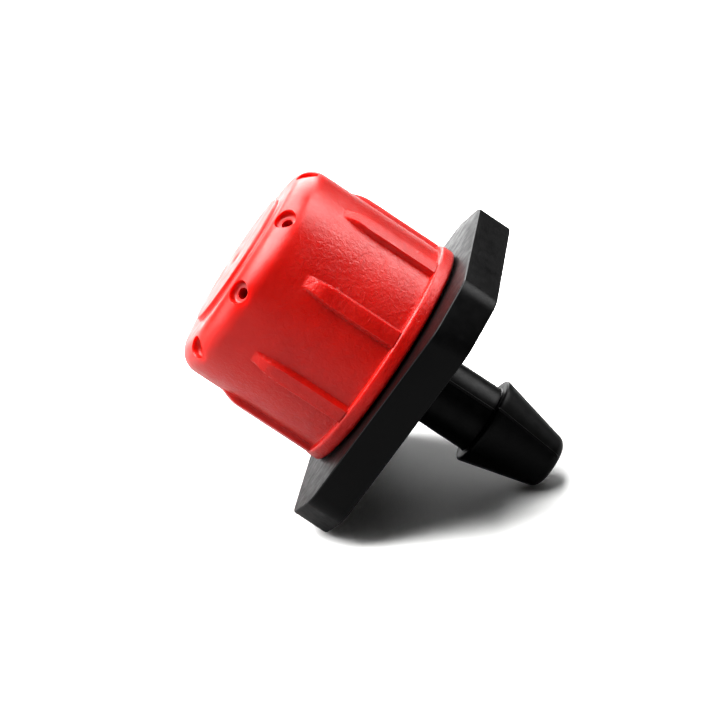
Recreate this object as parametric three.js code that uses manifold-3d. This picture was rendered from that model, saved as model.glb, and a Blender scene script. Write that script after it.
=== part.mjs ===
// An adjustable drip emitter for micro irrigation: a barbed base with a screw post,
// a seal ring on the post, and a ribbed cap that screws down over both.
//
// Millimetres.  +Z runs up the post towards the cap, and z = 0 is the underside of
// the flange, where the barb starts.  The cap is shown screwed fully down (closed).

import * as THREE from 'three';
import { mergeVertices } from 'three/addons/utils/BufferGeometryUtils.js';
import Module from 'manifold-3d';

const wasm = await Module();
wasm.setup();

// ---------------------------------------------------------------- driving sizes

// Flange: a square plate whose four corners are cut back, measured on the diagonal.
const FLANGE_ACROSS_FLATS = 18.3;
const FLANGE_CORNER_CUT = 1.84;
const FLANGE_THICKNESS = 2.35;
const FLANGE_VERTEX_ROUND = 1.6;
const FLANGE_EDGE_BEVEL = 0.12;

// Inlet barb, for 4 mm bore tube.
const STEM_RADIUS = 2.2;
const STEM_LENGTH = 4.6;
const STEM_FILLET = 0.3;
const BARB_HEIGHT = 0.65;
const BARB_TIP_RADIUS = 1.8;
const BARB_LENGTH = 5.15;
const BARB_EDGE = 0.2;
const TIP_ROUND = 0.7;
const TIP_LAND = 0.05;
const INLET_BORE_RADIUS = 0.8;
const INLET_MOUTH_CHAMFER = 0.25;

// Screw thread: a coarse, single-start, right-hand moulded thread.
const THREAD_PITCH = 1.5;
const THREAD_HEIGHT = 0.5;
const THREAD_FLANK = 0.2;
const THREAD_CLEARANCE = 0.15;
const THREAD_SIDE_CLEARANCE = 0.1;
const THREAD_RUN_OUT_TURNS = 0.12;
const THREAD_START_GAP = 0.3;
const THREAD_TOP_GAP = 0.3;
const CAP_THREAD_END_GAP = 0.15;
const THREAD_SINK = 0.15;

// Post above the thread: two lands with the seal groove between them.
const LAND_STEP = 0.45;
const LOWER_LAND_LENGTH = 2.4;
const UPPER_LAND_LENGTH = 0.7;
const LAND_CHAMFER = 0.3;
const SEAT_RADIUS = 1.8;
const SEAT_DEPTH = 0.9;

// Seal ring.
const RING_SECTION = 1.1;
const RING_CLEARANCE = 0.06;
const SEAL_BORE_CLEARANCE = 0.26;

// Cap.
const COLLAR_RADIUS = 7.5;
const COLLAR_HEIGHT = 0.95;
const COLLAR_EDGE = 0.2;
const CAP_GAP = 0.15;
const CAP_HEIGHT = 10.87;
const CAP_WALL = 1.5;
const TOP_WALL = 1.5;
const CHAMBER_HEIGHT = 1.06;
const SHOULDER_RADIUS = 1.45;
const TOP_DISC_MARGIN = 1.35;
const TOP_DISC_HEIGHT = 0.27;
const SOCKET_MOUTH_CHAMFER = 0.35;
const PLUG_CLEARANCE = 0.15;
const PLUG_REACH = 0.5;
const PLUG_SHOULDER = 0.4;

// Ribs round the cap, with an outlet port midway between each two.
const RIB_COUNT = 8;
const RIB_HEIGHT = 0.35;
const RIB_WIDTH = 1.15;
const RIB_END_GAP = 1.85;
const RIB_END_SLOPE = 0.8;
const RIB_SINK = 0.5;
const RIB_RECESS = 0.05;
const RIB_CLOCKING = 31;
const PORT_RADIUS = 0.35;
const PORT_RECESS_RADIUS = 0.68;
const PORT_RECESS_DEPTH = 0.5;
const PORT_TILT = 45;

// Facets round a full turn.
const TURN_FACETS = 48;
const THREAD_FACETS = 24;
const ARC_STEPS = 6;
const PORT_FACETS = 12;

// ------------------------------------------------------- levels, from the bottom up

const ledgeLevel = -STEM_LENGTH;
const tipLevel = ledgeLevel - BARB_LENGTH;

const capBottom = FLANGE_THICKNESS + CAP_GAP;
const collarTop = capBottom + COLLAR_HEIGHT;
const capTop = capBottom + CAP_HEIGHT;
const crownLevel = capTop - TOP_DISC_HEIGHT;
const shoulderLevel = crownLevel - SHOULDER_RADIUS;
const ribTop = shoulderLevel - RIB_END_GAP;
const ceilingLevel = crownLevel - TOP_WALL;

// The post reaches up to just under the cap's ceiling, and its thread takes the
// length that its lands and its groove leave.
const postTop = ceilingLevel - CHAMBER_HEIGHT;
const grooveTop = postTop - UPPER_LAND_LENGTH;
const grooveBottom = grooveTop - RING_SECTION - 2 * RING_CLEARANCE;
const postCoreTop = grooveBottom - LOWER_LAND_LENGTH;
const socketTop = postCoreTop + THREAD_TOP_GAP;
const threadStart = capBottom + THREAD_START_GAP;

// ---------------------------------------------------- radii, from the outside in

const panelRadius = COLLAR_RADIUS - RIB_RECESS - RIB_HEIGHT;
const topDiscRadius = panelRadius - SHOULDER_RADIUS - TOP_DISC_MARGIN;
const socketRadius = panelRadius - CAP_WALL;
const postCoreRadius = socketRadius - THREAD_HEIGHT - THREAD_CLEARANCE;
const landRadius = postCoreRadius - LAND_STEP;
const sealBoreRadius = landRadius + SEAL_BORE_CLEARANCE;
const ringOuterRadius = sealBoreRadius - RING_CLEARANCE;
const grooveRadius = ringOuterRadius - RING_SECTION - RING_CLEARANCE;

const barbRadius = STEM_RADIUS + BARB_HEIGHT;
const tipWall = BARB_TIP_RADIUS - INLET_BORE_RADIUS - INLET_MOUTH_CHAMFER;
const tipRound = Math.min(TIP_ROUND, tipWall - TIP_LAND);

// Two ridges and their side clearances share one pitch.
const threadMeanWidth = THREAD_PITCH / 2 - THREAD_SIDE_CLEARANCE;
const threadRootWidth = threadMeanWidth + THREAD_FLANK;
const threadCrestWidth = threadMeanWidth - THREAD_FLANK;

// --------------------------------------------------------------------- solids

function toSolid(geometry) {
  const bare = geometry.index ? geometry.toNonIndexed() : geometry.clone();
  bare.deleteAttribute('normal');
  bare.deleteAttribute('uv');
  const merged = mergeVertices(bare, 1e-5);
  const corners = merged.index.array;
  const kept = [];
  for (let i = 0; i < corners.length; i += 3) {
    const [a, b, c] = [corners[i], corners[i + 1], corners[i + 2]];
    if (a !== b && b !== c && c !== a) {
      kept.push(a, b, c);
    }
  }
  return new wasm.Manifold(new wasm.Mesh({
    numProp: 3,
    vertProperties: merged.attributes.position.array,
    triVerts: new Uint32Array(kept),
  }));
}

function toMesh(name, solid, look) {
  const { vertProperties, triVerts } = solid.getMesh();
  const geometry = new THREE.BufferGeometry();
  geometry.setAttribute('position', new THREE.BufferAttribute(vertProperties, 3));
  geometry.setIndex(new THREE.BufferAttribute(triVerts, 1));
  geometry.computeVertexNormals();
  const mesh = new THREE.Mesh(geometry, new THREE.MeshStandardMaterial(look));
  mesh.name = name;
  return mesh;
}

// A solid of revolution about Z.  The profile is a list of [radius, level] points
// that runs up the outside; it starts and ends on the axis, or closes on itself.
function turned(profile) {
  const points = profile.map(([radius, level]) => new THREE.Vector2(radius, level));
  const geometry = new THREE.LatheGeometry(points, TURN_FACETS);
  geometry.rotateX(Math.PI / 2);
  return toSolid(geometry);
}

// Points of a quarter round from angle `from` to `to` (degrees) about [r, z].
function arc(r, z, radius, from, to) {
  const points = [];
  for (let i = 0; i <= ARC_STEPS; i += 1) {
    const angle = THREE.MathUtils.degToRad(from + ((to - from) * i) / ARC_STEPS);
    points.push([r + radius * Math.cos(angle), z + radius * Math.sin(angle)]);
  }
  return points;
}

// A screw ridge: a straight bar of trapezoid section wrapped into a helix.
// `foot` is the radius it grows from and `crest` the radius it reaches, so an
// inner thread has its crest nearer the axis than its foot.
function threadRidge(foot, crest, startLevel, length) {
  const turns = length / THREAD_PITCH;
  const steps = Math.ceil(turns * THREAD_FACETS);
  const bar = new THREE.BoxGeometry(1, 1, 1, steps, 1, 1);
  const outward = Math.sign(crest - foot);
  const sunkFoot = foot - outward * THREAD_SINK;
  const place = bar.attributes.position;
  for (let i = 0; i < place.count; i += 1) {
    const turn = (place.getX(i) + 0.5) * turns;
    const atCrest = place.getY(i) > 0;
    const runOut = Math.min(1, Math.min(turn, turns - turn) / THREAD_RUN_OUT_TURNS);
    const taper = 0.1 + 0.9 * runOut;
    const radius = atCrest ? foot + (crest - foot) * taper : sunkFoot;
    const width = atCrest ? threadCrestWidth : threadRootWidth;
    const angle = turn * 2 * Math.PI;
    const level = startLevel + turn * THREAD_PITCH + place.getZ(i) * width * -outward;
    place.setXYZ(i, radius * Math.cos(angle), radius * Math.sin(angle), level);
  }
  return toSolid(bar);
}

// One copy of `geometry` for each rib, evenly spaced round the axis and joined.
// `clocking` is the angle of the first, in degrees.
function ringOf(geometry, clocking) {
  const copies = [];
  for (let i = 0; i < RIB_COUNT; i += 1) {
    const copy = geometry.clone();
    copy.rotateZ(THREE.MathUtils.degToRad(clocking + (360 / RIB_COUNT) * i));
    copies.push(toSolid(copy));
  }
  return wasm.Manifold.union(copies);
}

// --------------------------------------------------------------------- flange

// Outline of the flange: flats face 45, 135, 225 and 315 degrees, and the cut
// corners face the axes.  Every vertex is rounded.
function flangeOutline(inset) {
  const flat = FLANGE_ACROSS_FLATS / 2 - inset;
  const cut = FLANGE_ACROSS_FLATS * Math.SQRT1_2 - FLANGE_CORNER_CUT - inset;
  const round = FLANGE_VERTEX_ROUND - inset;
  const shape = new THREE.Shape();
  const half = THREE.MathUtils.degToRad(22.5);
  for (let side = 0; side < 8; side += 1) {
    const here = side % 2 === 0 ? cut : flat;
    const next = side % 2 === 0 ? flat : cut;
    const facing = side * 2 * half;
    // Centre of the round between this side and the next one.
    const along = ((next - round) - (here - round) * Math.cos(2 * half)) / Math.sin(2 * half);
    const x = (here - round) * Math.cos(facing) - along * Math.sin(facing);
    const y = (here - round) * Math.sin(facing) + along * Math.cos(facing);
    shape.absarc(x, y, round, facing, facing + 2 * half, false);
  }
  return shape;
}

function flange() {
  const geometry = new THREE.ExtrudeGeometry(flangeOutline(FLANGE_EDGE_BEVEL), {
    depth: FLANGE_THICKNESS - 2 * FLANGE_EDGE_BEVEL,
    bevelEnabled: true,
    bevelThickness: FLANGE_EDGE_BEVEL,
    bevelSize: FLANGE_EDGE_BEVEL,
    bevelSegments: 1,
    curveSegments: 3,
  });
  geometry.translate(0, 0, FLANGE_EDGE_BEVEL);
  return toSolid(geometry);
}

// ------------------------------------------------------------------------ base

// Barb, stem, post and through bore in one closed profile.
function baseCore() {
  const inside = FLANGE_THICKNESS / 2;
  return turned([
    [INLET_BORE_RADIUS + INLET_MOUTH_CHAMFER, tipLevel],
    ...arc(BARB_TIP_RADIUS - tipRound, tipLevel + tipRound, tipRound, -90, -8),
    [barbRadius, ledgeLevel - BARB_EDGE],
    [barbRadius - BARB_EDGE, ledgeLevel],
    [STEM_RADIUS, ledgeLevel],
    [STEM_RADIUS, -STEM_FILLET],
    [STEM_RADIUS + STEM_FILLET, 0],
    [STEM_RADIUS + STEM_FILLET, inside],
    [postCoreRadius, inside],
    [postCoreRadius, postCoreTop],
    [landRadius, postCoreTop],
    [landRadius, grooveBottom],
    [grooveRadius, grooveBottom],
    [grooveRadius, grooveTop],
    [landRadius, grooveTop],
    [landRadius, postTop - LAND_CHAMFER],
    [landRadius - LAND_CHAMFER, postTop],
    [SEAT_RADIUS, postTop],
    [INLET_BORE_RADIUS, postTop - SEAT_DEPTH],
    [INLET_BORE_RADIUS, tipLevel + INLET_MOUTH_CHAMFER],
    [INLET_BORE_RADIUS + INLET_MOUTH_CHAMFER, tipLevel],
  ]);
}

function emitterBase() {
  const crest = postCoreRadius + THREAD_HEIGHT;
  const firstLevel = threadStart + threadRootWidth / 2;
  const length = postCoreTop - threadRootWidth / 2 - firstLevel;
  const ridge = threadRidge(postCoreRadius, crest, firstLevel, length);
  // The flange is made as a full plate, so the bore is cut through it first.
  const bore = turned([
    [0, -FLANGE_THICKNESS],
    [INLET_BORE_RADIUS, -FLANGE_THICKNESS],
    [INLET_BORE_RADIUS, 2 * FLANGE_THICKNESS],
    [0, 2 * FLANGE_THICKNESS],
  ]);
  return baseCore().add(flange().subtract(bore)).add(ridge);
}

// ------------------------------------------------------------------- seal ring

function sealRing() {
  const middle = (grooveBottom + grooveTop) / 2;
  const radius = RING_SECTION / 2;
  const centre = ringOuterRadius - radius;
  const profile = [];
  const steps = 2 * ARC_STEPS;
  for (let i = 0; i < steps; i += 1) {
    const angle = (i / steps) * 2 * Math.PI;
    profile.push([centre + radius * Math.cos(angle), middle + radius * Math.sin(angle)]);
  }
  profile.push(profile[0]);
  return turned(profile);
}

// ------------------------------------------------------------------------- cap

function capOutside() {
  return turned([
    [0, capBottom],
    [COLLAR_RADIUS - COLLAR_EDGE, capBottom],
    [COLLAR_RADIUS, capBottom + COLLAR_EDGE],
    [COLLAR_RADIUS, collarTop - COLLAR_EDGE],
    [COLLAR_RADIUS - COLLAR_EDGE, collarTop],
    [panelRadius, collarTop],
    ...arc(panelRadius - SHOULDER_RADIUS, shoulderLevel, SHOULDER_RADIUS, 0, 90),
    [topDiscRadius + TOP_DISC_HEIGHT / 2, crownLevel],
    [topDiscRadius, capTop],
    [0, capTop],
  ]);
}

// Threaded socket, smooth seal bore and water chamber, down to below the mouth.
function capInside() {
  const below = capBottom - 1;
  const mouth = socketRadius + SOCKET_MOUTH_CHAMFER;
  return turned([
    [0, below],
    [mouth, below],
    [mouth, capBottom],
    [socketRadius, capBottom + SOCKET_MOUTH_CHAMFER],
    [socketRadius, socketTop],
    [sealBoreRadius, socketTop],
    [sealBoreRadius, ceilingLevel - LAND_CHAMFER],
    [sealBoreRadius - LAND_CHAMFER, ceilingLevel],
    [0, ceilingLevel],
  ]);
}

// The cone under the ceiling that closes the mouth of the post's bore.
function plug() {
  const slope = (SEAT_RADIUS - INLET_BORE_RADIUS) / SEAT_DEPTH;
  const offset = PLUG_CLEARANCE * Math.hypot(1, slope);
  const radiusAt = (level) => SEAT_RADIUS - offset + (level - postTop) * slope;
  const shoulder = postTop + PLUG_SHOULDER;
  const tip = postTop - PLUG_REACH;
  return turned([
    [0, tip],
    [radiusAt(tip), tip],
    [radiusAt(shoulder), shoulder],
    [radiusAt(shoulder), ceilingLevel + TOP_WALL / 2],
    [0, ceilingLevel + TOP_WALL / 2],
  ]);
}

// One rib, seen from the side: just inside the collar's edge, its upper end sloped.
function ribGeometry() {
  const outer = panelRadius + RIB_HEIGHT;
  const inner = panelRadius - RIB_SINK;
  const side = new THREE.Shape();
  side.moveTo(inner, collarTop - COLLAR_EDGE * 2);
  side.lineTo(outer, collarTop - COLLAR_EDGE * 2);
  side.lineTo(outer, ribTop - RIB_END_SLOPE);
  side.lineTo(panelRadius - RIB_RECESS, ribTop);
  side.lineTo(inner, ribTop);
  side.closePath();
  const geometry = new THREE.ExtrudeGeometry(side, { depth: RIB_WIDTH, bevelEnabled: false });
  geometry.rotateX(Math.PI / 2);
  geometry.translate(0, RIB_WIDTH / 2, 0);
  return geometry;
}

// A round cutter along an outlet's axis, which runs square out of the middle of the
// shoulder.  It reaches `inward` from the mouth, and well beyond it on the outside.
function outletCutter(radius, inward) {
  const tilt = THREE.MathUtils.degToRad(PORT_TILT);
  const mouthRadius = panelRadius - SHOULDER_RADIUS * (1 - Math.cos(tilt));
  const mouthLevel = crownLevel - SHOULDER_RADIUS * (1 - Math.sin(tilt));
  const beyond = SHOULDER_RADIUS;
  const geometry = new THREE.CylinderGeometry(radius, radius, inward + beyond, PORT_FACETS);
  geometry.translate(0, (beyond - inward) / 2, 0);
  geometry.rotateZ(tilt - Math.PI / 2);
  geometry.rotateX(Math.PI / 2);
  geometry.translate(mouthRadius, 0, mouthLevel);
  return ringOf(geometry, RIB_CLOCKING + 180 / RIB_COUNT);
}

// The outlets: a small hole from the chamber, in the floor of a wider recess.
function outlets() {
  const tilt = THREE.MathUtils.degToRad(PORT_TILT);
  const mouthRadius = panelRadius - SHOULDER_RADIUS * (1 - Math.cos(tilt));
  const chamberReach = (mouthRadius - sealBoreRadius) / Math.cos(tilt) + PORT_RADIUS;
  const hole = outletCutter(PORT_RADIUS, chamberReach);
  return hole.add(outletCutter(PORT_RECESS_RADIUS, PORT_RECESS_DEPTH));
}

function adjusterCap() {
  const crest = postCoreRadius + THREAD_CLEARANCE;
  // Half a pitch above a turn of the post's ridge, so each lies in the other's gap.
  const firstLevel = threadStart + threadRootWidth / 2 + THREAD_PITCH / 2;
  const lastLevel = socketTop - CAP_THREAD_END_GAP - threadRootWidth / 2;
  const ridge = threadRidge(socketRadius, crest, firstLevel, lastLevel - firstLevel);
  const body = capOutside().add(ringOf(ribGeometry(), RIB_CLOCKING));
  const opened = body.subtract(capInside()).add(ridge).add(plug());
  return opened.subtract(outlets());
}

// -------------------------------------------------------------------- assembly

const emitter = new THREE.Group();
emitter.add(toMesh('emitter_base', emitterBase(), {
  color: 0x0c0c0d, roughness: 0.45, metalness: 0,
}));
emitter.add(toMesh('seal_ring', sealRing(), {
  color: 0x161616, roughness: 0.7, metalness: 0,
}));
emitter.add(toMesh('adjuster_cap', adjusterCap(), {
  color: 0xd8201a, roughness: 0.35, metalness: 0,
}));

export default emitter;
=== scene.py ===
import math

import bmesh
import bpy
from mathutils import Matrix, Vector


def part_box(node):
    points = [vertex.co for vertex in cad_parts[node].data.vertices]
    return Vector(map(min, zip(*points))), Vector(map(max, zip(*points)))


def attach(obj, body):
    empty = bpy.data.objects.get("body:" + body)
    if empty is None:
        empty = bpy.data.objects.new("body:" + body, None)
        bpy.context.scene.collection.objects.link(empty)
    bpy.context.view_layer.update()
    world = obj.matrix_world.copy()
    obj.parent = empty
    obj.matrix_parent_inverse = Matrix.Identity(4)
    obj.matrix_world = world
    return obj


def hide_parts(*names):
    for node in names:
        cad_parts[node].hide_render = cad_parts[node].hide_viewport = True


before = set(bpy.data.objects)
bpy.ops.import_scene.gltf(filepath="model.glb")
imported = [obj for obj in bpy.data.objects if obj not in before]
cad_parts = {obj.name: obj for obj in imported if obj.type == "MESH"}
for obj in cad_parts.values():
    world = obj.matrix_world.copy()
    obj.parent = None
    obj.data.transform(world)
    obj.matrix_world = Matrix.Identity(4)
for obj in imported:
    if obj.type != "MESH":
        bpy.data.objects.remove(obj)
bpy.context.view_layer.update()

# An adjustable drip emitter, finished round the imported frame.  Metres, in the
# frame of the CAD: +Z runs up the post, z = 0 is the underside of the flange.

MM = 0.001

# ------------------------------------------------------------------ sizes

cap_low, cap_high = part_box("adjuster_cap")
base_low, base_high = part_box("emitter_base")
ring_low, ring_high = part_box("seal_ring")

# Cap, outside.
CAP_BOTTOM = cap_low[2]
CAP_TOP = cap_high[2]
COLLAR_RADIUS = cap_high[0]
COLLAR_HEIGHT = 0.95 * MM
COLLAR_ROUND = 0.2 * MM
PANEL_RADIUS = 7.1 * MM
SHOULDER_RADIUS = 1.45 * MM
TOP_DISC_RADIUS = 4.3 * MM
TOP_DISC_HEIGHT = 0.27 * MM
TOP_WALL = 1.5 * MM
COLLAR_TOP = CAP_BOTTOM + COLLAR_HEIGHT
CROWN = CAP_TOP - TOP_DISC_HEIGHT
SHOULDER_START = CROWN - SHOULDER_RADIUS
CEILING = CROWN - TOP_WALL

# Ribs and ports.
RIB_COUNT = 8
RIB_RECESS = 0.05 * MM
RIB_RADIUS = COLLAR_RADIUS - RIB_RECESS
RIB_WIDTH = 1.15 * MM
RIB_TOP = COLLAR_TOP + 6.35 * MM
RIB_END_SLOPE = 1.3 * MM
RIB_SIDE = 0.2 * MM
RIB_CLOCKING = math.radians(31)
PORT_RADIUS = 0.35 * MM
PORT_RECESS_RADIUS = 0.68 * MM
PORT_RECESS_DEPTH = 0.5 * MM
PORT_CLOCKING = RIB_CLOCKING - math.pi / RIB_COUNT
PORT_TILT = math.radians(45)

# Thread, post and seal.
PITCH = 1.5 * MM
THREAD_HEIGHT = 0.5 * MM
THREAD_CLEARANCE = 0.15 * MM
THREAD_ROOT = 0.85 * MM
THREAD_CREST = 0.45 * MM
THREAD_START = CAP_BOTTOM + 0.3 * MM
POST_CORE_RADIUS = 4.95 * MM
SOCKET_RADIUS = POST_CORE_RADIUS + THREAD_HEIGHT + THREAD_CLEARANCE
LAND_RADIUS = 4.5 * MM
POST_TOP = base_high[2]
RING_CLEARANCE = 0.06 * MM
GROOVE_LOW = ring_low[2] - RING_CLEARANCE
GROOVE_HIGH = ring_high[2] + RING_CLEARANCE
GROOVE_RADIUS = 3.54 * MM
SEAL_BORE = ring_high[0] + RING_CLEARANCE
LOWER_LAND = 2.4 * MM
THREAD_TOP_GAP = 0.3 * MM
POST_CORE_TOP = GROOVE_LOW - LOWER_LAND
SOCKET_TOP = POST_CORE_TOP + THREAD_TOP_GAP
SEAT_RADIUS = 1.8 * MM
SEAT_DEPTH = 0.9 * MM
BORE_RADIUS = 0.8 * MM

# Flange and barb.
FLANGE_HALF_CORNER = base_high[0]
FLANGE_HALF_FLAT = 9.15 * MM
FLANGE_THICKNESS = CAP_BOTTOM - 0.15 * MM
FLANGE_VERTEX_ROUND = 1.6 * MM
FLANGE_EDGE_ROUND = 0.14 * MM
STEM_RADIUS = 2.2 * MM
LEDGE = -4.6 * MM
BARB_RADIUS = 2.85 * MM
TIP_RADIUS = 1.8 * MM
TIP_ROUND = 0.75 * MM
TIP = base_low[2]
PARTING_RIDGE = 0.07 * MM


# ------------------------------------------------------------ mesh helpers

def make_object(name, bm):
    """A finished bmesh as an object at the origin."""
    mesh = bpy.data.meshes.new(name)
    bm.to_mesh(mesh)
    bm.free()
    piece = bpy.data.objects.new(name, mesh)
    bpy.context.scene.collection.objects.link(piece)
    return piece


def smooth(piece, angle=32):
    """Smooth shading, with the edges that turn more than `angle` left crisp."""
    piece.data.shade_smooth()
    piece.data.set_sharp_from_angle(angle=math.radians(angle))


def combine(piece, tool, operation):
    """Join the tool to the piece, or cut it out, and drop the tool."""
    cut = piece.modifiers.new("combine", "BOOLEAN")
    cut.operation = operation
    cut.solver = "EXACT"
    cut.object = tool
    graph = bpy.context.evaluated_depsgraph_get()
    mesh = bpy.data.meshes.new_from_object(piece.evaluated_get(graph))
    piece.modifiers.clear()
    old = piece.data
    piece.data = mesh
    bpy.data.meshes.remove(old)
    bpy.data.meshes.remove(tool.data)
    mesh.name = piece.name


def arc(radius_at, level_at, radius, start, end, steps):
    """[radius, level] points of a round from one angle to another, in degrees."""
    points = []
    for i in range(steps + 1):
        angle = math.radians(start + (end - start) * i / steps)
        points.append((radius_at + radius * math.cos(angle), level_at + radius * math.sin(angle)))
    return points


def line(start, end, steps):
    """Points from start to end, leaving out the start."""
    return [tuple(a + (b - a) * i / steps for a, b in zip(start, end)) for i in range(1, steps + 1)]


def spin_profile(bm, profile, sectors, closed=False):
    """Spin a profile about Z through sectors of (angle, steps), and weld the seam."""
    row = [bm.verts.new((r, 0, z)) for r, z in profile]
    pairs = list(zip(row, row[1:]))
    if closed:
        pairs.append((row[-1], row[0]))
    geometry = row + [bm.edges.new(pair) for pair in pairs]
    for angle, steps in sectors:
        turned = bmesh.ops.spin(bm, geom=geometry, cent=(0, 0, 0), axis=(0, 0, 1),
                                angle=angle, steps=steps, use_duplicate=False)
        geometry = turned["geom_last"]
    bmesh.ops.remove_doubles(bm, verts=bm.verts, dist=1e-7)
    bmesh.ops.recalc_face_normals(bm, faces=bm.faces)


def even_turn(steps):
    return [(math.tau, steps)]


def thread_ridge(foot, crest, start, length, per_turn=72):
    """A helical ridge of trapezoid section whose ends run out into the wall."""
    turns = length / PITCH
    steps = round(turns * per_turn)
    outward = 1 if crest > foot else -1
    sunk = foot - outward * 0.15 * MM
    section = [(sunk, -THREAD_ROOT / 2), (crest, -THREAD_CREST / 2),
               (crest, THREAD_CREST / 2), (sunk, THREAD_ROOT / 2)]
    bm = bmesh.new()
    first = [bm.verts.new((r, 0, start + z)) for r, z in section]
    loop = [bm.edges.new((first[i], first[(i + 1) % 4])) for i in range(4)]
    bmesh.ops.contextual_create(bm, geom=loop)
    rise = Vector((0, 0, turns * PITCH / steps))
    spun = bmesh.ops.spin(bm, geom=first + loop, cent=(0, 0, 0), axis=(0, 0, 1), dvec=rise,
                          angle=math.tau * turns, steps=steps, use_duplicate=False)
    last_edges = [e for e in spun["geom_last"] if isinstance(e, bmesh.types.BMEdge)]
    bmesh.ops.contextual_create(bm, geom=last_edges)
    run_out = 0.24 * PITCH
    for vert in bm.verts:
        radius = math.hypot(vert.co.x, vert.co.y)
        if (radius - foot) * outward < 0:
            continue
        from_end = min(vert.co.z - start, start + length - vert.co.z) + THREAD_CREST
        share = max(0.1, min(1, from_end / run_out))
        scale = (foot + (crest - foot) * share) / radius
        vert.co.x *= scale
        vert.co.y *= scale
    bmesh.ops.recalc_face_normals(bm, faces=bm.faces)
    return make_object("thread_ridge", bm)


def ease(x):
    """0 below 0, 1 above 1, and an S curve between."""
    x = max(0, min(1, x))
    return x * x * (3 - 2 * x)


# ---------------------------------------------------------------- the cap

def cap_profile():
    """Half section of the cap, from the middle of its top round to its plug."""
    top = [(0, CAP_TOP - 0.05 * MM), (0.35 * MM, CAP_TOP - 0.05 * MM), (0.5 * MM, CAP_TOP)]
    top += line(top[-1], (TOP_DISC_RADIUS - 0.1 * MM, CAP_TOP), 6)
    top += arc(TOP_DISC_RADIUS - 0.1 * MM, CAP_TOP - 0.1 * MM, 0.1 * MM, 75, 10, 4)
    top += [(TOP_DISC_RADIUS + 0.03 * MM, CROWN + 0.06 * MM), (TOP_DISC_RADIUS + 0.1 * MM, CROWN)]
    crown_edge = PANEL_RADIUS - SHOULDER_RADIUS
    outside = line(top[-1], (crown_edge, CROWN), 4)
    outside += arc(crown_edge, SHOULDER_START, SHOULDER_RADIUS, 90, 0, 22)[1:]
    wall_end = (PANEL_RADIUS, COLLAR_TOP + 0.08 * MM)
    outside += line((PANEL_RADIUS, SHOULDER_START), wall_end, 76)
    outside += [(PANEL_RADIUS + 0.02 * MM, COLLAR_TOP + 0.02 * MM), (PANEL_RADIUS + 0.08 * MM, COLLAR_TOP)]
    collar = arc(COLLAR_RADIUS - COLLAR_ROUND, COLLAR_TOP - COLLAR_ROUND, COLLAR_ROUND, 90, 0, 5)
    collar += line(collar[-1], (COLLAR_RADIUS, CAP_BOTTOM + COLLAR_ROUND), 5)
    collar += arc(COLLAR_RADIUS - COLLAR_ROUND, CAP_BOTTOM + COLLAR_ROUND, COLLAR_ROUND, 0, -90, 5)[1:]
    slope = (SEAT_RADIUS - BORE_RADIUS) / SEAT_DEPTH
    plug_radius = SEAT_RADIUS - 0.15 * MM * math.hypot(1, slope)
    inside = [
        (SOCKET_RADIUS + 0.35 * MM, CAP_BOTTOM),
        (SOCKET_RADIUS, CAP_BOTTOM + 0.35 * MM),
        (SOCKET_RADIUS, SOCKET_TOP),
        (SEAL_BORE, SOCKET_TOP),
        (SEAL_BORE, CEILING - 0.3 * MM),
        (SEAL_BORE - 0.3 * MM, CEILING),
        (plug_radius + 0.4 * MM * slope, CEILING),
        (plug_radius + 0.4 * MM * slope, POST_TOP + 0.4 * MM),
        (plug_radius - 0.5 * MM * slope, POST_TOP - 0.5 * MM),
        (0, POST_TOP - 0.5 * MM),
    ]
    return top + outside + collar + inside


def rib_sectors():
    """Columns round the cap, crowded where a rib's side wall stands."""
    half_face = (RIB_WIDTH - RIB_SIDE) / 2 / RIB_RADIUS
    side = RIB_SIDE / RIB_RADIUS
    panel = math.tau / RIB_COUNT - 2 * half_face - 2 * side
    one = [(half_face, 9), (side, 5), (panel, 18), (side, 5), (half_face, 9)]
    return one * RIB_COUNT


def raise_ribs(bm):
    """Move the wall out to the collar's radius along each rib."""
    for vert in bm.verts:
        radius = math.hypot(vert.co.x, vert.co.y)
        level = vert.co.z
        if radius < PANEL_RADIUS - 1e-7 or level > RIB_TOP or level < COLLAR_TOP - 1e-7:
            continue
        sector = math.tau / RIB_COUNT
        angle = math.atan2(vert.co.y, vert.co.x)
        off = (angle + sector / 2) % sector - sector / 2
        below_end = (RIB_TOP - level) / RIB_END_SLOPE
        nose = 0.7 + 0.3 * ease(below_end * 0.6)
        across = abs(off) * RIB_RADIUS
        side = ease((RIB_WIDTH / 2 * nose + RIB_SIDE / 2 - across) / RIB_SIDE)
        end = ease(below_end * 0.5 + 0.5) * 2 - 1 if below_end < 1 else 1
        height = (RIB_RADIUS - radius) * side * max(0, end)
        scale = (radius + max(0, height)) / radius
        vert.co.x *= scale
        vert.co.y *= scale


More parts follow.
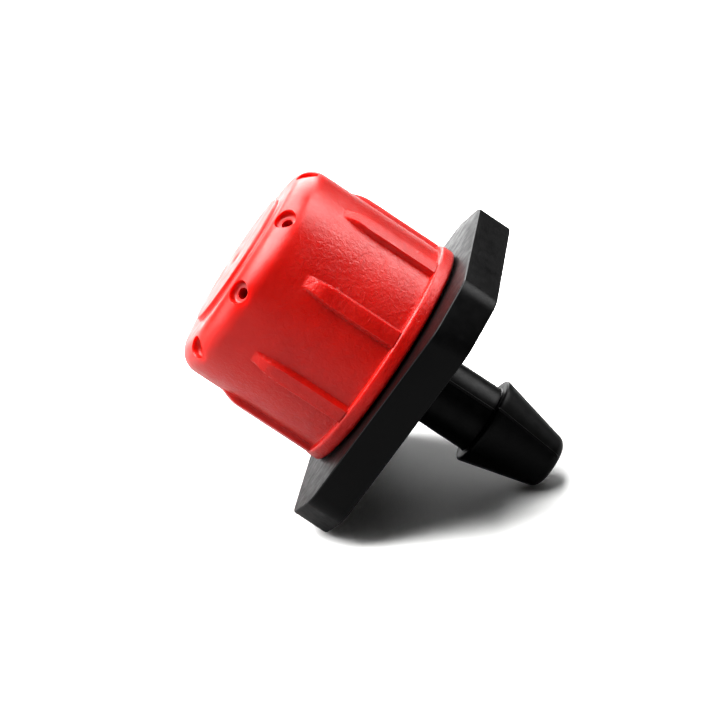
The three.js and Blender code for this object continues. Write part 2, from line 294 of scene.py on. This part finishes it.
def port_cutter():
    """Eight small holes from the chamber, each in the floor of a wider eased recess."""
    mouth_radius = PANEL_RADIUS - SHOULDER_RADIUS * (1 - math.cos(PORT_TILT))
    mouth_level = CROWN - SHOULDER_RADIUS * (1 - math.sin(PORT_TILT))
    inward = (mouth_radius - SEAL_BORE) / math.cos(PORT_TILT) + PORT_RADIUS
    bm = bmesh.new()
    wall = PORT_RECESS_RADIUS
    floor_round = 0.2 * MM
    profile = [(0, -inward), (PORT_RADIUS, -inward), (PORT_RADIUS, -PORT_RECESS_DEPTH)]
    profile += arc(wall - floor_round, floor_round - PORT_RECESS_DEPTH, floor_round, -90, 0, 5)
    profile += [(wall, -0.14 * MM), (wall + 0.02 * MM, -0.07 * MM), (wall + 0.07 * MM, -0.01 * MM)]
    profile += [(wall + 0.2 * MM, 0.06 * MM), (wall + 0.2 * MM, 0.7 * MM), (0, 0.7 * MM)]
    spin_profile(bm, profile, even_turn(40))
    tilt = Matrix.Rotation(math.pi / 2 - PORT_TILT, 4, "Y")
    out = Matrix.Translation((mouth_radius, 0, mouth_level))
    first = bm.verts[:] + bm.edges[:] + bm.faces[:]
    bmesh.ops.transform(bm, matrix=out @ tilt, verts=bm.verts)
    for i in range(1, RIB_COUNT):
        copy = bmesh.ops.duplicate(bm, geom=first)
        verts = [v for v in copy["geom"] if isinstance(v, bmesh.types.BMVert)]
        turn = Matrix.Rotation(math.tau * i / RIB_COUNT, 3, "Z")
        bmesh.ops.rotate(bm, cent=(0, 0, 0), matrix=turn, verts=verts)
    bmesh.ops.rotate(bm, cent=(0, 0, 0), matrix=Matrix.Rotation(PORT_CLOCKING, 3, "Z"), verts=bm.verts)
    return make_object("port_cutter", bm)


def make_cap():
    bm = bmesh.new()
    spin_profile(bm, cap_profile(), rib_sectors())
    raise_ribs(bm)
    bmesh.ops.rotate(bm, cent=(0, 0, 0), matrix=Matrix.Rotation(RIB_CLOCKING, 3, "Z"), verts=bm.verts)
    cap = make_object("ribbed_cap", bm)
    first = THREAD_START + THREAD_ROOT / 2 + PITCH / 2
    last = SOCKET_TOP - 0.15 * MM - THREAD_ROOT / 2
    ridge = thread_ridge(SOCKET_RADIUS, POST_CORE_RADIUS + THREAD_CLEARANCE, first, last - first)
    combine(cap, ridge, "UNION")
    combine(cap, port_cutter(), "DIFFERENCE")
    smooth(cap)
    return cap


# --------------------------------------------------------------- the base

def make_flange():
    """A square plate with its corners cut off, its vertices and rims rounded."""
    bm = bmesh.new()
    corners = []
    for side in range(8):
        here, after = (FLANGE_HALF_CORNER, FLANGE_HALF_FLAT)[::1 if side % 2 == 0 else -1]
        facing = side * math.pi / 4
        along = (after - here * math.cos(math.pi / 4)) / math.sin(math.pi / 4)
        out = Vector((math.cos(facing), math.sin(facing), 0))
        across = Vector((-out.y, out.x, 0))
        corners.append(bm.verts.new(out * here + across * along))
    plate = bm.faces.new(corners)
    raised = bmesh.ops.extrude_face_region(bm, geom=[plate])
    top = [v for v in raised["geom"] if isinstance(v, bmesh.types.BMVert)]
    bmesh.ops.translate(bm, vec=(0, 0, FLANGE_THICKNESS), verts=top)
    bmesh.ops.recalc_face_normals(bm, faces=bm.faces)
    upright = [e for e in bm.edges if abs(e.verts[0].co.z - e.verts[1].co.z) > FLANGE_THICKNESS / 2]
    setback = FLANGE_VERTEX_ROUND * math.tan(math.pi / 8)
    bmesh.ops.bevel(bm, geom=upright, offset=setback, segments=8, profile=0.5, affect="EDGES", material=-1)
    rim = [e for e in bm.edges if abs(e.verts[0].co.z - e.verts[1].co.z) < 1e-7]
    bmesh.ops.bevel(bm, geom=rim, offset=FLANGE_EDGE_ROUND, segments=3, profile=0.5,
                    affect="EDGES", material=-1)
    bmesh.ops.recalc_face_normals(bm, faces=bm.faces)
    flange = make_object("flange", bm)
    hole = bmesh.new()
    bmesh.ops.create_cone(hole, cap_ends=True, segments=64, radius1=2 * MM, radius2=2 * MM,
                          depth=3 * FLANGE_THICKNESS)
    combine(flange, make_object("flange_hole", hole), "DIFFERENCE")
    return flange


def parting_ridge(bm):
    """The mould's parting line: a low ridge down each side of the stem and barb."""
    for vert in bm.verts:
        radius = math.hypot(vert.co.x, vert.co.y)
        if vert.co.z > -0.35 * MM or radius < TIP_RADIUS * 0.6 or vert.co.z < TIP + 0.25 * MM:
            continue
        across = abs(vert.co.x)
        lift = PARTING_RIDGE * ease(1.4 - across / PARTING_RIDGE)
        scale = (radius + lift) / radius
        vert.co.x *= scale
        vert.co.y *= scale


def base_profile():
    """Half section of barb, stem, post and bore, closed on itself."""
    inside = FLANGE_THICKNESS / 2
    barb = [(BORE_RADIUS + 0.25 * MM, TIP)]
    barb += arc(TIP_RADIUS - TIP_ROUND, TIP + TIP_ROUND, TIP_ROUND, -90, -8, 10)
    barb += line(barb[-1], (BARB_RADIUS, LEDGE - 0.16 * MM), 16)
    barb += arc(BARB_RADIUS - 0.16 * MM, LEDGE - 0.16 * MM, 0.16 * MM, 0, 90, 5)[1:]
    barb += [(STEM_RADIUS + 0.05 * MM, LEDGE), (STEM_RADIUS, LEDGE + 0.05 * MM)]
    stem = line(barb[-1], (STEM_RADIUS, -0.3 * MM), 16)
    stem += arc(STEM_RADIUS + 0.3 * MM, -0.3 * MM, 0.3 * MM, 180, 90, 5)[1:]
    post = [
        (STEM_RADIUS + 0.3 * MM, inside),
        (POST_CORE_RADIUS, inside),
        (POST_CORE_RADIUS, POST_CORE_TOP - 0.08 * MM),
        (POST_CORE_RADIUS - 0.08 * MM, POST_CORE_TOP),
        (LAND_RADIUS, POST_CORE_TOP),
        (LAND_RADIUS, GROOVE_LOW),
        (GROOVE_RADIUS, GROOVE_LOW),
        (GROOVE_RADIUS, GROOVE_HIGH),
        (LAND_RADIUS, GROOVE_HIGH),
        (LAND_RADIUS, POST_TOP - 0.3 * MM),
        (LAND_RADIUS - 0.3 * MM, POST_TOP),
        (SEAT_RADIUS, POST_TOP),
        (BORE_RADIUS, POST_TOP - SEAT_DEPTH),
        (BORE_RADIUS, TIP + 0.25 * MM),
    ]
    return barb + stem + post


def make_base():
    bm = bmesh.new()
    # Columns are crowded at +Y and -Y, where the parting line runs.
    near = math.radians(6)
    wide = math.pi - near
    sectors = [(near / 2, 6), (wide, 54), (near, 12), (wide, 54), (near / 2, 6)]
    spin_profile(bm, base_profile(), sectors, closed=True)
    bmesh.ops.rotate(bm, cent=(0, 0, 0), matrix=Matrix.Rotation(math.pi / 2, 3, "Z"), verts=bm.verts)
    parting_ridge(bm)
    base = make_object("moulded_base", bm)
    combine(base, make_flange(), "UNION")
    first = THREAD_START + THREAD_ROOT / 2
    last = POST_CORE_TOP - THREAD_ROOT / 2
    ridge = thread_ridge(POST_CORE_RADIUS, POST_CORE_RADIUS + THREAD_HEIGHT, first, last - first)
    combine(base, ridge, "UNION")
    smooth(base, 28)
    return base


# -------------------------------------------------------------- seal ring

def make_seal():
    section = (ring_high[2] - ring_low[2]) / 2
    middle = (ring_high[2] + ring_low[2]) / 2
    centre = ring_high[0] - section
    profile = arc(centre, middle, section, 0, 360 - 15, 23)
    bm = bmesh.new()
    spin_profile(bm, profile, even_turn(128), closed=True)
    seal = make_object("rubber_seal", bm)
    smooth(seal, 60)
    return seal


# -------------------------------------------------------------- materials

def new_material(name):
    material = bpy.data.materials.new(name)
    material.use_nodes = True
    tree = material.node_tree
    shader = tree.nodes["Principled BSDF"]
    place = tree.nodes.new("ShaderNodeTexCoord")
    return material, tree, shader, place.outputs["Object"]


def noise(tree, place, scale, detail=3, roughness=0.5, distortion=0.0):
    node = tree.nodes.new("ShaderNodeTexNoise")
    node.inputs["Scale"].default_value = scale
    node.inputs["Detail"].default_value = detail
    node.inputs["Roughness"].default_value = roughness
    node.inputs["Distortion"].default_value = distortion
    tree.links.new(place, node.inputs["Vector"])
    return node.outputs["Fac"]


def ramp(tree, factor, low, high, dark, light):
    """Map factor from low..high onto dark..light."""
    node = tree.nodes.new("ShaderNodeMapRange")
    node.inputs["From Min"].default_value = low
    node.inputs["From Max"].default_value = high
    node.inputs["To Min"].default_value = dark
    node.inputs["To Max"].default_value = light
    tree.links.new(factor, node.inputs["Value"])
    return node.outputs["Result"]


def multiply(tree, first, second):
    node = tree.nodes.new("ShaderNodeMath")
    node.operation = "MULTIPLY"
    tree.links.new(first, node.inputs[0])
    tree.links.new(second, node.inputs[1])
    return node.outputs["Value"]


def specks(tree, place, scale, size, share):
    """Small round specks, in about `share` of the cells."""
    node = tree.nodes.new("ShaderNodeTexVoronoi")
    node.inputs["Scale"].default_value = scale
    tree.links.new(place, node.inputs["Vector"])
    chosen = tree.nodes.new("ShaderNodeSeparateColor")
    tree.links.new(node.outputs["Color"], chosen.inputs["Color"])
    spot = ramp(tree, node.outputs["Distance"], size * 0.7, size, 1, 0)
    pick = ramp(tree, chosen.outputs["Red"], 1 - share, 1 - share + 0.01, 0, 1)
    return multiply(tree, spot, pick)


def blend_colours(tree, factor, first, second):
    node = tree.nodes.new("ShaderNodeMix")
    node.data_type = "RGBA"
    tree.links.new(factor, node.inputs["Factor"])
    node.inputs["A"].default_value = (*first, 1)
    node.inputs["B"].default_value = (*second, 1)
    return node.outputs["Result"]


def bump(tree, height, strength, distance, below=None):
    node = tree.nodes.new("ShaderNodeBump")
    node.inputs["Strength"].default_value = strength
    node.inputs["Distance"].default_value = distance
    tree.links.new(height, node.inputs["Height"])
    if below:
        tree.links.new(below, node.inputs["Normal"])
    return node.outputs["Normal"]


def red_plastic():
    material, tree, shader, place = new_material("red_cap_plastic")
    cloud = ramp(tree, noise(tree, place, 260, 2), 0.35, 0.7, 0, 1)
    colour = blend_colours(tree, cloud, (0.40, 0.004, 0.0006), (0.47, 0.006, 0.001))
    tree.links.new(colour, shader.inputs["Base Color"])
    rough = ramp(tree, noise(tree, place, 900, 4, 0.6), 0.3, 0.7, 0.3, 0.44)
    tree.links.new(rough, shader.inputs["Roughness"])
    # The orange peel is on the wall between the ribs, and fades out on the shoulder.
    axes = tree.nodes.new("ShaderNodeSeparateXYZ")
    tree.links.new(place, axes.inputs["Vector"])
    wall = ramp(tree, axes.outputs["Z"], SHOULDER_START - 1.5 * MM, SHOULDER_START + 0.5 * MM, 1, 0.12)
    wrinkle = multiply(tree, noise(tree, place, 3400, 4, 0.6, 0.6), wall)
    peel = bump(tree, wrinkle, 0.9, 0.05 * MM)
    tree.links.new(bump(tree, noise(tree, place, 9000, 2), 0.25, 0.006 * MM, peel), shader.inputs["Normal"])
    shader.inputs["Subsurface Weight"].default_value = 0.5
    shader.inputs["Subsurface Radius"].default_value = (1.0, 0.07, 0.03)
    shader.inputs["Subsurface Scale"].default_value = 1.6 * MM
    shader.inputs["IOR"].default_value = 1.5
    shader.inputs["Specular IOR Level"].default_value = 0.42
    return material


def black_plastic():
    material, tree, shader, place = new_material("black_base_plastic")
    cloud = ramp(tree, noise(tree, place, 350, 3), 0.35, 0.7, 0, 1)
    colour = blend_colours(tree, cloud, (0.0015, 0.0015, 0.0016), (0.003, 0.003, 0.0031))
    dusty = tree.nodes.new("ShaderNodeMix")
    dusty.data_type = "RGBA"
    tree.links.new(specks(tree, place, 700, 0.05, 0.12), dusty.inputs["Factor"])
    tree.links.new(colour, dusty.inputs["A"])
    dusty.inputs["B"].default_value = (0.16, 0.15, 0.14, 1)
    tree.links.new(dusty.outputs["Result"], shader.inputs["Base Color"])
    rough = ramp(tree, noise(tree, place, 1400, 5, 0.65), 0.3, 0.7, 0.3, 0.46)
    tree.links.new(rough, shader.inputs["Roughness"])
    grain = bump(tree, noise(tree, place, 5200, 3, 0.6), 0.35, 0.01 * MM)
    tree.links.new(bump(tree, noise(tree, place, 700, 2), 0.3, 0.05 * MM, grain), shader.inputs["Normal"])
    shader.inputs["IOR"].default_value = 1.5
    shader.inputs["Specular IOR Level"].default_value = 0.12
    return material


def seal_rubber():
    material, tree, shader, place = new_material("seal_rubber")
    cloud = ramp(tree, noise(tree, place, 900, 3), 0.3, 0.7, 0, 1)
    colour = blend_colours(tree, cloud, (0.018, 0.018, 0.018), (0.03, 0.03, 0.029))
    tree.links.new(colour, shader.inputs["Base Color"])
    shader.inputs["Roughness"].default_value = 0.6
    tree.links.new(bump(tree, noise(tree, place, 4000, 3), 0.3, 0.01 * MM), shader.inputs["Normal"])
    return material


# ------------------------------------------------ the table and the camera

# The emitter lies on its side: it rests on the tip of its barb and on the lower
# edge of the flat that faces 135 degrees.
REST_FACING = Vector((-math.sqrt(0.5), math.sqrt(0.5), 0))
REST_EDGE = REST_FACING * FLANGE_HALF_FLAT
REST_TIP = REST_FACING * (TIP_RADIUS - TIP_ROUND * 0.2) + Vector((0, 0, TIP + TIP_ROUND * 0.4))
along_table = (REST_TIP - REST_EDGE).normalized()
level_line = Vector((0, 0, 1)).cross(REST_FACING)
TABLE_UP = along_table.cross(level_line).normalized()
if TABLE_UP.z < 0:
    TABLE_UP.negate()

VIEW_AZIMUTH = math.radians(-22.9)
VIEW_ELEVATION = math.radians(7.57)
VIEW_ROLL = math.radians(-56.7)
VIEW_DISTANCE = 165 * MM
VIEW_AIM = Vector((0, 0, 3 * MM))
AIM_OFFSET = (-1.13 * MM, -0.50 * MM)
SENSOR = 36.0
LENS = 135.9


def place_camera():
    back = Vector((math.sin(VIEW_AZIMUTH) * math.cos(VIEW_ELEVATION),
                   -math.cos(VIEW_AZIMUTH) * math.cos(VIEW_ELEVATION),
                   math.sin(VIEW_ELEVATION)))
    level_up = (Vector((0, 0, 1)) - back * back.z).normalized()
    level_right = level_up.cross(back)
    right = level_right * math.cos(VIEW_ROLL) + level_up * math.sin(VIEW_ROLL)
    up = level_up * math.cos(VIEW_ROLL) - level_right * math.sin(VIEW_ROLL)
    spot = VIEW_AIM + back * VIEW_DISTANCE
    aim = VIEW_AIM + right * AIM_OFFSET[0] + up * AIM_OFFSET[1]
    back = (spot - aim).normalized()
    up = (up - back * up.dot(back)).normalized()
    right = up.cross(back)
    data = bpy.data.cameras.new("camera")
    data.sensor_width = SENSOR
    data.lens = LENS
    data.clip_start = 0.005
    camera = bpy.data.objects.new("camera", data)
    camera.matrix_world = Matrix.Translation(spot) @ Matrix((right, up, back)).transposed().to_4x4()
    bpy.context.scene.collection.objects.link(camera)
    bpy.context.scene.camera = camera
    return back


def one_sided_paper():
    """Pale matt paper, clear from below, that throws little light back up."""
    material, tree, shader, place = new_material("table_paper")
    seen = tree.nodes.new("ShaderNodeLightPath").outputs["Is Camera Ray"]
    paper = blend_colours(tree, seen, (0.3, 0.3, 0.3), (0.96, 0.96, 0.95))
    tree.links.new(paper, shader.inputs["Base Color"])
    shader.inputs["Roughness"].default_value = 0.7
    side = tree.nodes.new("ShaderNodeNewGeometry")
    clear = tree.nodes.new("ShaderNodeBsdfTransparent")
    mix = tree.nodes.new("ShaderNodeMixShader")
    tree.links.new(side.outputs["Backfacing"], mix.inputs["Fac"])
    tree.links.new(shader.outputs["BSDF"], mix.inputs[1])
    tree.links.new(clear.outputs["BSDF"], mix.inputs[2])
    tree.links.new(mix.outputs["Shader"], tree.nodes["Material Output"].inputs["Surface"])
    return material


def make_table():
    bm = bmesh.new()
    bmesh.ops.create_grid(bm, x_segments=2, y_segments=2, size=1.5)
    table = make_object("table", bm)
    facing = TABLE_UP.to_track_quat("Z", "Y").to_matrix().to_4x4()
    table.matrix_world = Matrix.Translation(REST_TIP - TABLE_UP * 0.05 * MM) @ facing
    table.data.materials.append(one_sided_paper())


def softbox(name, place, aim, size, power):
    data = bpy.data.lights.new(name, "AREA")
    data.shape = "SQUARE"
    data.size = size
    data.energy = power
    light = bpy.data.objects.new(name, data)
    facing = (place - aim).to_track_quat("Z", "Y").to_matrix().to_4x4()
    light.matrix_world = Matrix.Translation(place) @ facing
    bpy.context.scene.collection.objects.link(light)
    return light


def light_studio(back):
    """A big softbox overhead, a small one at the left, and sheen lights round the cap."""
    toward_camera = (back - TABLE_UP * back.dot(TABLE_UP)).normalized()
    sideways = TABLE_UP.cross(toward_camera)
    middle = Vector((0, 0, 3 * MM))
    overhead = middle + TABLE_UP * 0.30 - toward_camera * 0.015 - sideways * 0.13
    left = middle + TABLE_UP * 0.07 - sideways * 0.33
    softbox("overhead", overhead, middle, 0.36, 4.6)
    softbox("left", left, middle, 0.26, 0.8)
    # Three lights that show only as a sheen: on the cap's upper side, on what faces
    # up and to the right, and on the flat top of the flange.
    above = middle + TABLE_UP * 0.20 - toward_camera * 0.32 - sideways * 0.04
    right = middle + TABLE_UP * 0.24 - toward_camera * 0.10 + sideways * 0.24
    grazing = middle + (Vector((0, 0, 1)) * 2 * back.z - back) * 0.045
    sheens = [("above", above, 0.30, 1.4), ("right", right, 0.24, 1.3), ("grazing", grazing, 0.05, 0.012)]
    for name, place, size, power in sheens:
        sheen = softbox(name, place, middle, size, power)
        sheen.visible_diffuse = False
        sheen.visible_camera = False
    world = bpy.data.worlds.new("studio")
    world.use_nodes = True
    tree = world.node_tree
    ray = tree.nodes.new("ShaderNodeLightPath")
    strength = ramp(tree, ray.outputs["Is Camera Ray"], 0, 1, 0.05, 1.0)
    tree.links.new(strength, tree.nodes["Background"].inputs["Strength"])
    tree.nodes["Background"].inputs["Color"].default_value = (1, 1, 1, 1)
    bpy.context.scene.world = world
    grade = bpy.context.scene.view_settings
    grade.view_transform = "Standard"
    grade.exposure = 0.35
    grade.gamma = 0.82


# --------------------------------------------------------------- assembly

back = place_camera()
make_table()
light_studio(back)

cap = make_cap()
cap.data.materials.clear()
cap.data.materials.append(red_plastic())
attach(cap, "cap")
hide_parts("adjuster_cap")

base = make_base()
base.data.materials.clear()
base.data.materials.append(black_plastic())
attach(base, "base")
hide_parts("emitter_base")

seal = make_seal()
seal.data.materials.append(seal_rubber())
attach(seal, "seal_ring")
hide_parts("seal_ring")
